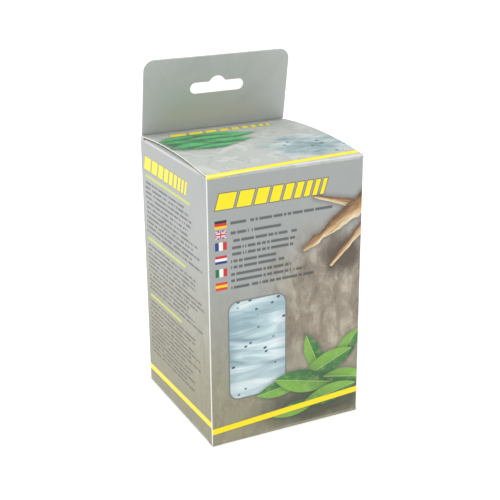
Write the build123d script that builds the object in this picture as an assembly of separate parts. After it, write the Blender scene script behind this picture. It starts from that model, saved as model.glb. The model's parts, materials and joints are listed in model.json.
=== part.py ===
from build123d import *
import os
from math import cos, radians, sin, sqrt, tan

# Folding carton with a doubled hang tab, and the clear feeder can that it holds.
# Millimetres. The origin is the centre of the carton's foot: -Y is the printed front, +Z is up.

# Carton
box_width = 88.0          # outside, left wall to right wall
box_depth = 87.0          # outside, front wall to rear wall
box_height = 146.5        # foot to the lid's front fold
board = 0.5               # thickness of the laminated board
crease_radius = 0.5       # bead that a pressed crease raises
crease_play = 0.05        # from a bead to the panel that folds round it
stack_gap = 0.2           # air between closure panels that lie on each other
mitre = 45.0              # degrees, the line on which two walls meet at a corner

# Lid and bottom closures
lid_bow = 2.4             # height of the lid's middle over the line between its folds
lid_rear_rise = 1.2       # the lid's rear fold stands this much over its front fold
lid_swing_gap = 0.15      # air between the swinging lid and the leaning hang tab
bottom_bow = 0.0
bottom_rear_gap = 0.2     # from the bottom panel's rear fold to the rear wall
panel_side_inset = 0.4    # each side of a closure panel stops this much inside the carton's width
slit_length = 10.0        # slit lock cut into each end of a closure panel's rear fold
slit_drop = 1.6           # tuck shoulders start this far below the fold
tuck_length = 15.0
tuck_lean = 9.0           # degrees, the tuck flap leans in from the rear wall
tuck_side_inset = 1.5
tuck_corner = 8.0

# Dust flaps
dust_length = 38.0        # from the side wall's fold to the nose
dust_front_start = 4.0    # the tapered front edge starts this far behind the front fold
dust_taper = 30.0         # degrees, front edge
dust_rear_gap = 1.2       # from the rear edge to the closure panel's rear fold
dust_shoulder = 11.0      # length of the straight lock shoulder at the rear edge
dust_notch = 4.0          # depth of the step behind the shoulder
dust_corner = 6.0
dust_root = 4.0           # over this width the flap rises from its straight fold to the lid's bow

# Glued seam
seam_width = 14.0
seam_taper = 12.0         # degrees, slanted ends of the seam flap
seam_end_gap = 4.0        # the seam flap stops this far from the side wall's folds

# Hang tab
tab_side_inset = 0.7      # each side of the tab stops this much inside the carton's width
tab_height = 42.3         # from its fold to the top edge
tab_lean = 10.0           # degrees, forward over the lid
tab_rise = 1.0            # its fold stands this much over the lid's front fold
tab_corner = 6.0
slot_width = 32.0
slot_height = 6.2
slot_up = 24.3            # slot's middle above the tab's fold
slot_bump_radius = 5.0
slot_bump_up = 1.1        # centre of the round bump above the slot's middle
slot_bump_fillet = 1.2

# Feeder can
can_foot_gap = 0.2        # air over the bottom dust flaps
can_headroom = 3.0        # from the feeder lid's top to the tip of the carton's tuck flap
can_side_gap = 1.95       # from the feeder lid's skirt to the nearest wall
can_wall = 0.6
can_taper = 2.0           # the base's radius is this much smaller than the mouth's
can_rim_overhang = 1.0    # the rim stands this much out of the wall
can_rim_height = 1.6
can_foot_width = 2.5      # width of the ring that the can stands on
can_foot_rise = 1.2       # the base panel lies this much above the ring
can_rib_count = 6
can_rib_first = 44.0      # lowest rib above the can's foot
can_rib_pitch = 11.0
can_rib_height = 5.0      # at its root
can_rib_crown = 1.5       # straight band along its top
can_rib_proud = 0.8

# Feeder lid and wad
press_gap = 0.15          # running fit between the lid and the can's mouth
lid_skin = 0.7
lid_skirt = 5.0
lid_recess = 2.5          # the lid's plate lies this much below the can's mouth
lid_edge_cut = 0.4        # chamfer on the lid's upper edges
exit_hole_radius = 11.0
exit_lip_height = 1.2
wad_gap = 0.2
wad_bulb_depth = 7.0      # below the plate
wad_top = 14.0            # above the plate
wad_flare = 2.0           # the tuft spreads this much over the lip

# Places worked out from the sizes above
half_width = box_width / 2
half_depth = box_depth / 2
hinge_clear = crease_radius + crease_play
side_drop = board + stack_gap
corner_x = half_width - crease_radius
corner_y = half_depth - crease_radius
front_top_z = box_height - crease_radius
side_top_z = box_height - side_drop - crease_radius
side_foot_z = side_drop + crease_radius
tab_axis_z = box_height + tab_rise
tab_width = box_width - 2 * tab_side_inset
bead_span_x = box_width - 4 * crease_radius
bead_span_y = box_depth - 4 * crease_radius
seam_x = half_width - board - crease_radius


def lid_rear_axis():
    """Y of the lid's rear fold: as long as the lid's swing lets it be in front of the leaning tab."""
    lean = radians(tab_lean)
    across = 2 * corner_y
    up = tab_rise + crease_radius
    tab_face = 2 * board - crease_radius
    reach = across * cos(lean) + up * sin(lean) - tab_face - lid_swing_gap - crease_radius
    return -corner_y + sqrt(reach ** 2 - lid_rear_rise ** 2)


lid_rear_y = lid_rear_axis()
bottom_rear_y = half_depth - board - bottom_rear_gap - crease_radius


def rod_x(y, z, radius, length):
    """Round bead along X, centred on the carton's middle plane."""
    disc = Plane.YZ.offset(-length / 2) * Pos(y, z) * Circle(radius)
    return extrude(disc, length)


def clear_x(y, z):
    """Block round a fold along X, which squares off the end of the panel beside it."""
    tall = 4 * board
    block = Plane.YZ.offset(-box_width) * Pos(y, z) * rect(-hinge_clear, hinge_clear, -tall, tall)
    return extrude(block, 2 * box_width)


def rod_y(x, z, radius, length):
    """Round bead along Y, centred on the carton's middle plane."""
    disc = Plane.XZ.offset(-length / 2) * Pos(x, z) * Circle(radius)
    return extrude(disc, length)


def rect(x0, x1, y0, y1):
    """Rectangle between two pairs of limits."""
    return Pos((x0 + x1) / 2, (y0 + y1) / 2) * Rectangle(x1 - x0, y1 - y0)


def half_bead(x, y, angle):
    """Half of a corner bead, cut along its mitre: angle is the side that is kept."""
    keep = Pos(crease_radius / 2, 0) * Rectangle(crease_radius, 2 * crease_radius)
    return Pos(x, y) * Rot(0, 0, angle) * (Circle(crease_radius) & keep)


def bowed(start, end, bow):
    """Edge between two points, raised by bow in its middle."""
    if bow < 0.01:
        return Line(start, end)
    middle = ((start[0] + end[0]) / 2, (start[1] + end[1]) / 2 + bow)
    return ThreePointArc(start, middle, end)


def strip(y0, y1, z0, z1, bow, thickness):
    """Section of a panel whose outer line runs from y0, z0 to y1, z1."""
    outer = bowed((y0, z0), (y1, z1), bow)
    inner = bowed((y0, z0 - thickness), (y1, z1 - thickness), bow)
    ends = [Line(outer @ 0, inner @ 0), Line(outer @ 1, inner @ 1)]
    return make_face([outer, inner] + ends)


# The four walls stand on each other at mitred corner beads, and the rear right corner is glued.

def front_wall():
    plan = rect(-corner_x, corner_x, -half_depth, -half_depth + board)
    plan += half_bead(-corner_x, -corner_y, -mitre)
    plan += half_bead(corner_x, -corner_y, mitre - 180)
    wall = extrude(Pos(0, 0, crease_radius) * plan, front_top_z - crease_radius)
    for z in (crease_radius, front_top_z):
        wall += rod_x(-corner_y, z, crease_radius, bead_span_x)
    return wall


def side_beads(wall, x):
    for z in (side_foot_z, side_top_z):
        wall += rod_y(x, z, crease_radius, bead_span_y)
    return wall


def left_wall():
    plan = rect(-half_width, -half_width + board, -corner_y, corner_y)
    plan += half_bead(-corner_x, -corner_y, 180 - mitre)
    plan += half_bead(-corner_x, corner_y, mitre - 180)
    wall = extrude(Pos(0, 0, side_foot_z) * plan, side_top_z - side_foot_z)
    return side_beads(wall, -corner_x)


def right_wall():
    plan = rect(half_width - board, half_width, -corner_y, half_depth)
    plan += half_bead(corner_x, -corner_y, mitre)
    wall = extrude(Pos(0, 0, side_foot_z) * plan, side_top_z - side_foot_z)
    wall = side_beads(wall, corner_x)
    # the glued corner leaves no room for the bead's rear end inside the wall
    clear = rect(half_width - 4 * board, half_width - board, half_depth - seam_width - 1, half_depth)
    return wall - extrude(clear, box_height)


def rear_wall():
    panel = extrude(rect(-corner_x, seam_x, half_depth - board, half_depth), side_top_z)
    corners = half_bead(-corner_x, corner_y, mitre) + half_bead(seam_x, corner_y, 180 - mitre)
    panel += extrude(Pos(0, 0, side_foot_z) * corners, side_top_z - side_foot_z)
    neck = rect(-tab_width / 2, tab_width / 2, half_depth - board, half_depth)
    panel += extrude(Pos(0, 0, side_top_z) * neck, tab_axis_z - side_top_z)
    return panel + rod_x(corner_y, tab_axis_z, crease_radius, tab_width)


def seam_flap():
    outer_x = half_width - board
    inner_y = half_depth - seam_width
    plan = rect(outer_x - board, outer_x, inner_y, corner_y)
    plan += half_bead(seam_x, corner_y, -mitre)
    z0 = side_foot_z + seam_end_gap
    z1 = side_top_z - seam_end_gap
    slant = seam_width * tan(radians(seam_taper))
    outline = Polyline((inner_y, z0 + slant), (half_depth, z0), (half_depth, z1), (inner_y, z1 - slant), close=True)
    blade = extrude(Plane.YZ.offset(half_width - 4 * board) * make_face(outline), 4 * board)
    return extrude(plan, box_height) & blade


# Closures are made at z 0 for the panel's outer face at its front fold, pointing down into the carton.

def closure_panel(rear_y, rise, bow):
    width = box_width - 2 * panel_side_inset
    section = strip(-corner_y, rear_y, 0, rise, bow, board)
    panel = extrude(Plane.YZ.offset(-width / 2) * section, width)
    panel -= clear_x(-corner_y, -crease_radius)
    for side in (-1, 1):
        tongue = rect(rear_y - board, rear_y + crease_radius, rise - board, rise)
        start = -width / 2 if side < 0 else width / 2 - slit_length
        panel += extrude(Plane.YZ.offset(start) * tongue, slit_length)
    return panel + rod_x(rear_y, rise - crease_radius, crease_radius, width - 2 * slit_length)


def tuck_flap(rear_y, rise):
    lean = radians(tuck_lean)
    flap_plane = Plane(
        origin=(0, rear_y, rise - crease_radius),
        x_dir=(1, 0, 0),
        z_dir=(0, cos(lean), -sin(lean)),
    )
    neck = half_width - panel_side_inset - slit_length - stack_gap
    half = half_width - tuck_side_inset
    body = rect(-half, half, slit_drop, tuck_length)
    tips = body.vertices().sort_by(Axis.Y)[-2:]
    outline = fillet(tips, tuck_corner) + rect(-neck, neck, hinge_clear, slit_drop)
    return extrude(flap_plane.offset(crease_radius - board) * outline, board)


def dust_outline(rear_y):
    """Left flap from above: x runs from the fold to the nose, y from front to rear."""
    front = -corner_y + dust_front_start
    back = rear_y - dust_rear_gap
    nose = -corner_x + dust_length
    nose_front = front + dust_length * tan(radians(dust_taper))
    step_x = -corner_x + dust_shoulder
    start = -corner_x + hinge_clear
    outline = Polyline(
        (start, front),
        (nose, nose_front),
        (nose, back - dust_notch),
        (step_x + dust_notch, back - dust_notch),
        (step_x, back),
        (start, back),
        close=True,
    )
    face = make_face(outline)
    return fillet(face.vertices().sort_by(Axis.X)[-2:], dust_corner)


def dust_flap(rear_y, rise, bow):
    """Left flap: straight at its fold, then pressed up under the closure panel's bow."""
    level = [Plane.YZ.offset(x) for x in (-corner_x, -corner_x + dust_root, -corner_x + dust_length)]
    flat = strip(-corner_y, rear_y, -side_drop, -side_drop, 0, board)
    under = strip(-corner_y, rear_y, -side_drop, rise - side_drop, bow, board)
    sheet = loft([level[0] * flat, level[1] * under, level[2] * under], ruled=True)
    blank = extrude(Pos(0, 0, -4 * crease_radius) * dust_outline(rear_y), bow + rise + 4 * crease_radius)
    return sheet & blank


# The tab's two leaves are cut together, and the rear leaf carries the fold at the top.

def euro_slot():
    slot = SlotOverall(slot_width, slot_height)
    bump = Pos(0, slot_bump_up) * Circle(slot_bump_radius)
    bump &= rect(-slot_width, slot_width, 0, slot_width)
    hole = slot + bump
    roots = [v for v in hole.vertices() if abs(v.Y - slot_height / 2) < 0.01 and abs(v.X) < slot_bump_radius]
    return fillet(roots, slot_bump_fillet)


def tab_blank():
    """The tab's outline with its slot, standing on the fold: x across, y up."""
    outline = rect(-tab_width / 2, tab_width / 2, hinge_clear, tab_height)
    outline = fillet(outline.vertices().sort_by(Axis.Y)[-2:], tab_corner)
    return outline - Pos(0, slot_up) * euro_slot()


def tab_place():
    lean = radians(tab_lean)
    return Plane(
        origin=(0, corner_y, tab_axis_z),
        x_dir=(1, 0, 0),
        z_dir=(0, -cos(lean), -sin(lean)),
    )


def tab_ply(front):
    """Leaf in the tab's own plane: local z points forward, and the fold's axis is at z 0."""
    middle = board - crease_radius
    top = tab_height - board
    z0 = middle if front else middle - board
    cut = extrude(Pos(0, 0, -board + middle) * tab_blank(), 2 * board)
    leaf = Pos(0, top / 2, z0 + board / 2) * Box(tab_width, top, board)
    if not front:
        fold = Plane.YZ.offset(-tab_width / 2) * Pos(top, middle) * Circle(board)
        fold &= Plane.YZ.offset(-tab_width / 2) * rect(top, top + board, middle - board, middle + board)
        leaf += extrude(fold, tab_width)
    return tab_place() * (leaf & cut)


# The feeder: a ribbed clear can, its press-on lid and the wad in the exit hole.

can_foot_z = side_foot_z - crease_radius + board + can_foot_gap
tuck_tip_z = box_height + lid_rear_rise - crease_radius - tuck_length * cos(radians(tuck_lean))
can_top_z = tuck_tip_z - can_headroom - press_gap - lid_skin
can_height = can_top_z - can_foot_z
can_rim_radius = min(half_width, half_depth) - board - can_side_gap - lid_skin - press_gap
can_top_radius = can_rim_radius - can_rim_overhang
can_base_radius = can_top_radius - can_taper


def can_radius(up):
    """Outer radius of the tapered wall at a height above the can's foot."""
    return can_base_radius + can_taper * up / can_height


def can_profile(inset, base_up):
    """Half section of the can, drawn inset from its outside and closed on the axis."""
    points = [(0, base_up), (can_base_radius - inset, base_up)]
    for i in range(can_rib_count):
        middle = can_rib_first + i * can_rib_pitch
        root = can_rib_height / 2
        crown = can_rib_crown / 2
        for step, proud in ((-root, 0), (-crown, can_rib_proud), (crown, can_rib_proud), (root, 0)):
            up = middle + step
            points.append((can_radius(up) + proud - inset, up))
    points += [(can_top_radius - inset, can_height), (0, can_height)]
    return Plane.XZ * make_face(Polyline(*points, close=True))


def feeder_can():
    outside = revolve(can_profile(0, 0), Axis.Z)
    rim_section = rect(can_top_radius - can_wall, can_rim_radius, can_height - can_rim_height, can_height)
    outside += revolve(Plane.XZ * rim_section, Axis.Z)
    inside = revolve(can_profile(can_wall, can_foot_rise + can_wall), Axis.Z)
    hollow = Pos(0, 0, can_foot_rise / 2) * Cylinder(can_base_radius - can_foot_width, can_foot_rise)
    return Pos(0, 0, can_foot_z) * (outside - inside - hollow)


def feeder_lid():
    skirt_in = can_rim_radius + press_gap
    skirt_out = skirt_in + lid_skin
    plug = can_top_radius - can_wall - press_gap
    section = rect(skirt_in, skirt_out, -lid_skirt, press_gap + lid_skin)
    section += rect(plug - lid_skin, skirt_out, press_gap, press_gap + lid_skin)
    section += rect(plug - lid_skin, plug, -lid_recess, press_gap + lid_skin)
    section += rect(exit_hole_radius, plug, -lid_recess, -lid_recess + lid_skin)
    section += rect(exit_hole_radius, exit_hole_radius + lid_skin, -lid_recess, exit_lip_height - lid_recess + lid_skin)
    crown = [v for v in section.vertices() if v.Y > press_gap + lid_skin - 0.01]
    section = chamfer(crown, lid_edge_cut)
    return Pos(0, 0, can_top_z) * revolve(Plane.XZ * section, Axis.Z)


def exit_wad():
    plate = can_top_z - lid_recess
    neck = exit_hole_radius - wad_gap
    lip_top = exit_lip_height + lid_skin
    tuft = exit_hole_radius + wad_flare
    rest = lip_top + wad_gap
    outline = Polyline(
        (0, -wad_bulb_depth),
        (neck * 0.6, -wad_bulb_depth),
        (neck, -wad_bulb_depth / 3),
        (neck, rest),
        (tuft, rest + wad_flare),
        (tuft * 0.8, wad_top * 0.7),
        (tuft * 0.35, wad_top),
        (0, wad_top),
        close=True,
    )
    return Pos(0, 0, plate) * revolve(Plane.XZ * make_face(outline), Axis.Z)


def top(solid):
    return Pos(0, 0, box_height) * solid


def foot(solid):
    return mirror(solid, about=Plane.XY)


def mirrored(solid):
    return mirror(solid, about=Plane.YZ)


lid_flap = dust_flap(lid_rear_y, lid_rear_rise, lid_bow)
bottom_flap = dust_flap(bottom_rear_y, 0, bottom_bow)

parts = {
    "front_wall": front_wall(),
    "left_wall": left_wall(),
    "right_wall": right_wall(),
    "rear_wall": rear_wall(),
    "seam_flap": seam_flap(),
    "lid_panel": top(closure_panel(lid_rear_y, lid_rear_rise, lid_bow)),
    "lid_tuck_flap": top(tuck_flap(lid_rear_y, lid_rear_rise)),
    "top_dust_flap_left": top(lid_flap),
    "top_dust_flap_right": top(mirrored(lid_flap)),
    "bottom_panel": foot(closure_panel(bottom_rear_y, 0, bottom_bow)),
    "bottom_tuck_flap": foot(tuck_flap(bottom_rear_y, 0)),
    "bottom_dust_flap_left": foot(bottom_flap),
    "bottom_dust_flap_right": foot(mirrored(bottom_flap)),
    "hang_tab_rear_ply": tab_ply(front=False),
    "hang_tab_front_ply": tab_ply(front=True),
    "feeder_can": feeder_can(),
    "feeder_lid": feeder_lid(),
    "exit_wad": exit_wad(),
}

os.makedirs("parts", exist_ok=True)
for name, solid in parts.items():
    export_step(solid, f"parts/{name}.step")
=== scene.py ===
import json
import bmesh
import bpy
import numpy as np
from mathutils import Matrix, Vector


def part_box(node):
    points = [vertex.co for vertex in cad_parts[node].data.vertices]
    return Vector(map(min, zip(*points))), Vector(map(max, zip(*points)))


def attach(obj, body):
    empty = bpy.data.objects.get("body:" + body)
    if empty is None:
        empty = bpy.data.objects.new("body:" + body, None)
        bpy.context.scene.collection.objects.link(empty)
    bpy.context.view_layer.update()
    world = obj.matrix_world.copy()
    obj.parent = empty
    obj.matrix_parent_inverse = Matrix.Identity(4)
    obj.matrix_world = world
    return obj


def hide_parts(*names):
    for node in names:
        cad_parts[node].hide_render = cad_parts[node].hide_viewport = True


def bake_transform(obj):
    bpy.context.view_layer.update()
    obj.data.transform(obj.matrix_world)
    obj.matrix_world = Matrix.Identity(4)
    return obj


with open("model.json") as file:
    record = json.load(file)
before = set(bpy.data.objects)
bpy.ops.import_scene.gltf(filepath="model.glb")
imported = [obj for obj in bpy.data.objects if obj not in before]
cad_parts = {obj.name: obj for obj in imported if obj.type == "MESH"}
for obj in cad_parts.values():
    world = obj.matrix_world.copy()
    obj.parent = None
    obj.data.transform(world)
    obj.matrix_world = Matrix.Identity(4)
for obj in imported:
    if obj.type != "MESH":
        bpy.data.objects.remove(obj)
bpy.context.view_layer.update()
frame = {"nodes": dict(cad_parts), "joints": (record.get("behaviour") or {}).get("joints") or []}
jointAt = {j["name"]: np.array(j["pos_m"]) for j in frame["joints"] if "pos_m" in j}
print("frame loaded with", len(frame["nodes"]), "nodes")

# A printed, gloss laminated carton with a tuck closure at each end, and the clear feeder can inside it.
# Metres. The carton is one blank: u runs round the sleeve from the front's left edge, v up it from the foot.

carton = {
    "board": 0.0005,          # thickness
    "bead": 0.0005,           # radius of the crease inside a fold
    "foldRadius": 0.0009,     # outside of a pressed fold
    "foldFlat": 0.0010,       # flat strip on each side of a fold's bend
    "foldGap": 0.0002,        # a fold's skin stops this far inside the panel's sides
    "blendInset": 0.0003,     # distance past a fold skin's edge
    "edgeGap": 0.0001,        # a cut edge stops this far from what closes over it
    "rearFoot": 0.0002,       # the rear wall's cut foot over the floor
    "sag": 0.00025,           # how far the middle of a wall lies inside its flat
    "gridStep": 0.0022,
    "closureInset": 0.0004,   # a closure panel stops this far inside the carton's width
    "stackGap": 0.0002,
    "lidBow": 0.0024,
    "slitLong": 0.0100,       # slit lock at each end of a closure's rear fold
    "slitDrop": 0.0016,
    "tuckRadius": 0.0007,     # outside of the tuck's fold
    "tuckFlat": 0.0005,
    "tuckLong": 0.0150,
    "tuckLean": 9.0,          # degrees
    "tuckInset": 0.0015,
    "tuckCorner": 0.0080,
    "dustLong": 0.0380,
    "dustStart": 0.0040,
    "dustTaper": 30.0,        # degrees
    "dustRearGap": 0.0012,
    "dustShoulder": 0.0110,
    "dustNotch": 0.0040,
    "dustCorner": 0.0060,
    "dustSink": 0.0003,       # the flap's root lies this much lower than the closed stack
    "dustFollow": 0.82,       # share of the lid's bow that the root follows
    "dustEase": (0.001, 0.006, 0.004),    # the bow fades over these: outside, at the front, at the rear
    "dustSettle": 0.003,      # past its fold the flap reaches the whole bow over this width
    "seamWide": 0.0140,
    "seamTaper": 12.0,        # degrees
    "seamEnd": 0.0045,
}

board = carton["board"]
bead = carton["bead"]
foldRadius = carton["foldRadius"]
foldFlat = carton["foldFlat"]
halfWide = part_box("right_wall")[1].x
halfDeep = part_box("rear_wall")[1].y
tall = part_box("front_wall")[1].z
wide, deep = 2 * halfWide, 2 * halfDeep
wideMm, deepMm, tallMm = wide * 1000, deep * 1000, tall * 1000
lidRear = jointAt["lid_tuck_fold"]
bottomRear = jointAt["bottom_tuck_fold"]
frontAxisY = jointAt["lid_fold"][1]
lidRise = lidRear[2] - jointAt["lid_fold"][2]
sideDrop = board + carton["stackGap"]
tabFold = jointAt["hang_tab_fold"]
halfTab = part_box("hang_tab_rear_ply")[1].x


# Mesh helpers

stepHalf = 4e-6               # half the distance between the two grid lines at a step


def spread(start, end, steps=(), spacing=carton["gridStep"]):
    # even places from start to end, with a close pair at each step in the outline
    count = max(2, int(np.ceil(abs(end - start) / spacing)) + 1)
    pairs = [s + d for s in steps for d in (-stepHalf, stepHalf)]
    return np.unique(np.concatenate([np.linspace(start, end, count), pairs]))


def smooth(x):
    # 3x^2 - 2x^3 between 0 and 1
    x = np.clip(x, 0, 1)
    return x * x * (3 - 2 * x)


def stacked(*parts):
    # x, y and z or u and v, stretched to one grid and put side by side
    return np.stack(np.broadcast_arrays(*parts), -1)


def roundedEnd(length, corner, start, count):
    # places that crowd towards a rounded end: length - r (1 - sin)
    return length - corner * (1 - np.sin(np.linspace(start, 1, count) * np.pi / 2))


def cornerLoss(place, length, corner):
    # width lost to a round corner of radius r, at a distance over past its start: r - sqrt(r^2 - over^2)
    over = np.clip(place - (length - corner), 0, corner)
    return corner - np.sqrt(corner ** 2 - over ** 2 + 1e-12)


def addMesh(name, points, faces, materials, slots=None, uv=None, sharp=40.0):
    # smooth faces, with their uv on the blank: edges that turn by more than the sharp angle stay sharp
    mesh = bpy.data.meshes.new(name)
    mesh.from_pydata(points.reshape(-1, 3), [], faces.tolist())
    for material in materials:
        mesh.materials.append(material)
    if slots is not None:
        mesh.polygons.foreach_set("material_index", np.asarray(slots, np.int32))
    if uv is not None:
        corner = np.zeros(len(mesh.loops), np.int32)
        mesh.loops.foreach_get("vertex_index", corner)
        layer = mesh.uv_layers.new(name="blank")
        layer.data.foreach_set("uv", uv[corner].astype(np.float32).ravel())
    mesh.polygons.foreach_set("use_smooth", np.ones(len(mesh.polygons), bool))
    mesh.set_sharp_from_angle(angle=np.radians(sharp))
    mesh.update()
    piece = bpy.data.objects.new(name, mesh)
    bpy.context.scene.collection.objects.link(piece)
    return piece


def boardPiece(name, outer, normal, u, v, ink, wrap=False, thickness=board):
    # closed shell: the printed grid, the same grid moved in by the board's thickness,
    # and the cut edges between them
    normal = np.broadcast_to(normal, outer.shape)
    uv = stacked(u, v, outer[..., 0])[..., :2].reshape(-1, 2)
    rows, cols = outer.shape[:2]
    total = rows * cols
    index = np.arange(total).reshape(rows, cols)
    ahead = np.roll(index, -1, 1) if wrap else index[:, 1:]
    here = index if wrap else index[:, :-1]
    front = np.stack([here[:-1], ahead[:-1], ahead[1:], here[1:]], -1).reshape(-1, 4)
    if wrap:
        starts = np.concatenate([here[0], ahead[-1]])
        ends = np.concatenate([ahead[0], here[-1]])
    else:
        starts = np.concatenate([index[0, :-1], index[:-1, -1], index[-1, :0:-1], index[:0:-1, 0]])
        ends = np.roll(starts, -1)
    rim = np.stack([starts, starts + total, ends + total, ends], -1)
    faces = np.concatenate([front, front[:, ::-1] + total, rim])
    flat = outer.reshape(-1, 3)
    faceNormal = np.cross(flat[front[:, 1]] - flat[front[:, 0]], flat[front[:, 3]] - flat[front[:, 0]])
    if (faceNormal * normal.reshape(-1, 3)[front[:, 0]]).sum() < 0:
        faces = faces[:, ::-1]
    slots = np.repeat([0, 1, 2], [len(front), len(front), len(rim)])
    points = np.concatenate([flat, (outer - thickness * normal).reshape(-1, 3)])
    piece = addMesh(name, points, faces, [ink, whiteBoard, cutEdge], slots, np.concatenate([uv, uv]))
    return piece


def fitted(piece, body, node):
    # the piece moves with its body and stands in for that solid
    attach(piece, body)
    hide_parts(node)


def foldPath(corner, into, out, radius=foldRadius, flat=foldFlat, steps=10, flatSteps=3):
    # straight run, arc, straight run: a point on the arc is its centre plus the radius
    # along the turned normal
    into = np.array(into) / np.hypot(*into)
    out = np.array(out) / np.hypot(*out)
    turn = np.arctan2(into[0] * out[1] - into[1] * out[0], into @ out)
    inward = np.sign(turn) * np.array([-into[1], into[0]])
    centre = np.array(corner) - into * radius * np.tan(abs(turn) / 2) + inward * radius
    angle = np.linspace(0, turn, steps + 1)[:, None]
    normals = -inward * np.cos(angle) - np.array([-inward[1], inward[0]]) * np.sin(angle)
    arc = centre + radius * normals
    run = np.linspace(0, 1, flatSteps + 1)[1:, None] * flat
    points = np.concatenate([arc[:1] - into * run[::-1], arc, arc[-1:] + out * run])
    normals = np.concatenate([normals[:1].repeat(flatSteps, 0), normals, normals[-1:].repeat(flatSteps, 0)])
    along = np.concatenate([[0], np.cumsum(np.hypot(*np.diff(points, axis=0).T))])
    return points, normals, along - along[-1] / 2


def revolve(name, profile, material, steps=144, sharp=50.0):
    # radius and height of a closed profile, carried round the vertical axis
    angle = np.linspace(0, 2 * np.pi, steps, endpoint=False)[:, None]
    radius, height = profile.T
    points = stacked(radius * np.cos(angle), radius * np.sin(angle), height)
    index = np.arange(points.size // 3).reshape(steps, len(profile))
    nextTurn, nextRow = np.roll(index, -1, 0), np.roll(index, -1, 1)
    faces = np.stack([index, nextTurn, np.roll(nextTurn, -1, 1), nextRow], -1).reshape(-1, 4)
    offAxis = np.tile((radius + np.roll(radius, -1)) > 1e-6, steps)
    area = (radius * np.roll(height, -1) - np.roll(radius, -1) * height).sum()
    faces = faces[offAxis] if area > 0 else faces[offAxis][:, ::-1]
    return mended(addMesh(name, points, faces, [material], sharp=180), sharp)


def mended(piece, sharp):
    # points that lie on each other are joined, so poles and seams are closed
    shape = bmesh.new()
    shape.from_mesh(piece.data)
    bmesh.ops.remove_doubles(shape, verts=shape.verts, dist=1e-6)
    bmesh.ops.dissolve_degenerate(shape, edges=shape.edges, dist=1e-7)
    bmesh.ops.recalc_face_normals(shape, faces=shape.faces)
    shape.to_mesh(piece.data)
    shape.free()
    piece.data.set_sharp_from_angle(angle=np.radians(sharp))
    return piece


def eased(profile, radius, steps=4, most=0.45):
    # each corner of a closed outline becomes a quadratic curve between two points at the given reach from it
    ends = []
    for other in (np.roll(profile, 1, 0), np.roll(profile, -1, 0)):
        length = np.hypot(*(other - profile).T)[:, None]
        ends.append(profile + (other - profile) / length * np.minimum(radius, most * length))
    t = np.linspace(0, 1, steps + 1)[:, None, None]
    curve = (1 - t) ** 2 * ends[0] + 2 * t * (1 - t) * profile + t ** 2 * ends[1]
    curve = curve.transpose(1, 0, 2).reshape(-1, 2)
    own = np.repeat(profile, steps + 1, 0)
    curve = np.where(own[:, :1] < 1e-6, own, curve)
    return curve[np.hypot(*(curve - np.roll(curve, 1, 0)).T) > 1e-7]


# Shader helpers

class Field:
    # wraps one output socket, so that sums on it are written as Python expressions
    def __init__(self, paint, socket):
        self.paint = paint
        self.socket = socket

    def calc(self, operation, *values, clamp=False):
        # one math node with these values as its inputs
        settings = {"operation": operation, "use_clamp": clamp}
        return self.paint.node("ShaderNodeMath", settings, dict(enumerate(values)))

    def __add__(self, other):
        return self.calc("ADD", self, other)

    __radd__ = __add__

    def __sub__(self, other):
        return self.calc("SUBTRACT", self, other)

    def __rsub__(self, other):
        return self.calc("SUBTRACT", other, self)

    def __mul__(self, other):
        return self.calc("MULTIPLY", self, other)

    __rmul__ = __mul__

    def __truediv__(self, other):
        return self.calc("DIVIDE", self, other)

    def __abs__(self):
        return self.calc("ABSOLUTE", self)

    def __gt__(self, other):
        return self.calc("GREATER_THAN", self, other)

    def __lt__(self, other):
        return self.calc("LESS_THAN", self, other)

    def over(self, other):
        return self.calc("MAXIMUM", self, other)

    def under(self, other):
        return self.calc("MINIMUM", self, other)

    def root(self):
        return self.calc("SQRT", self)

    def floor(self):
        return self.calc("FLOOR", self)

    def fraction(self):
        return self.calc("FRACT", self)

    def clamped(self):
        return self.calc("ADD", self, 0.0, clamp=True)

    def inside(self, soft=0.2):
        # 1 where the distance is under 0, and 0 outside, over a soft edge
        return self.calc("SUBTRACT", 0.5, self / soft, clamp=True)


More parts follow.
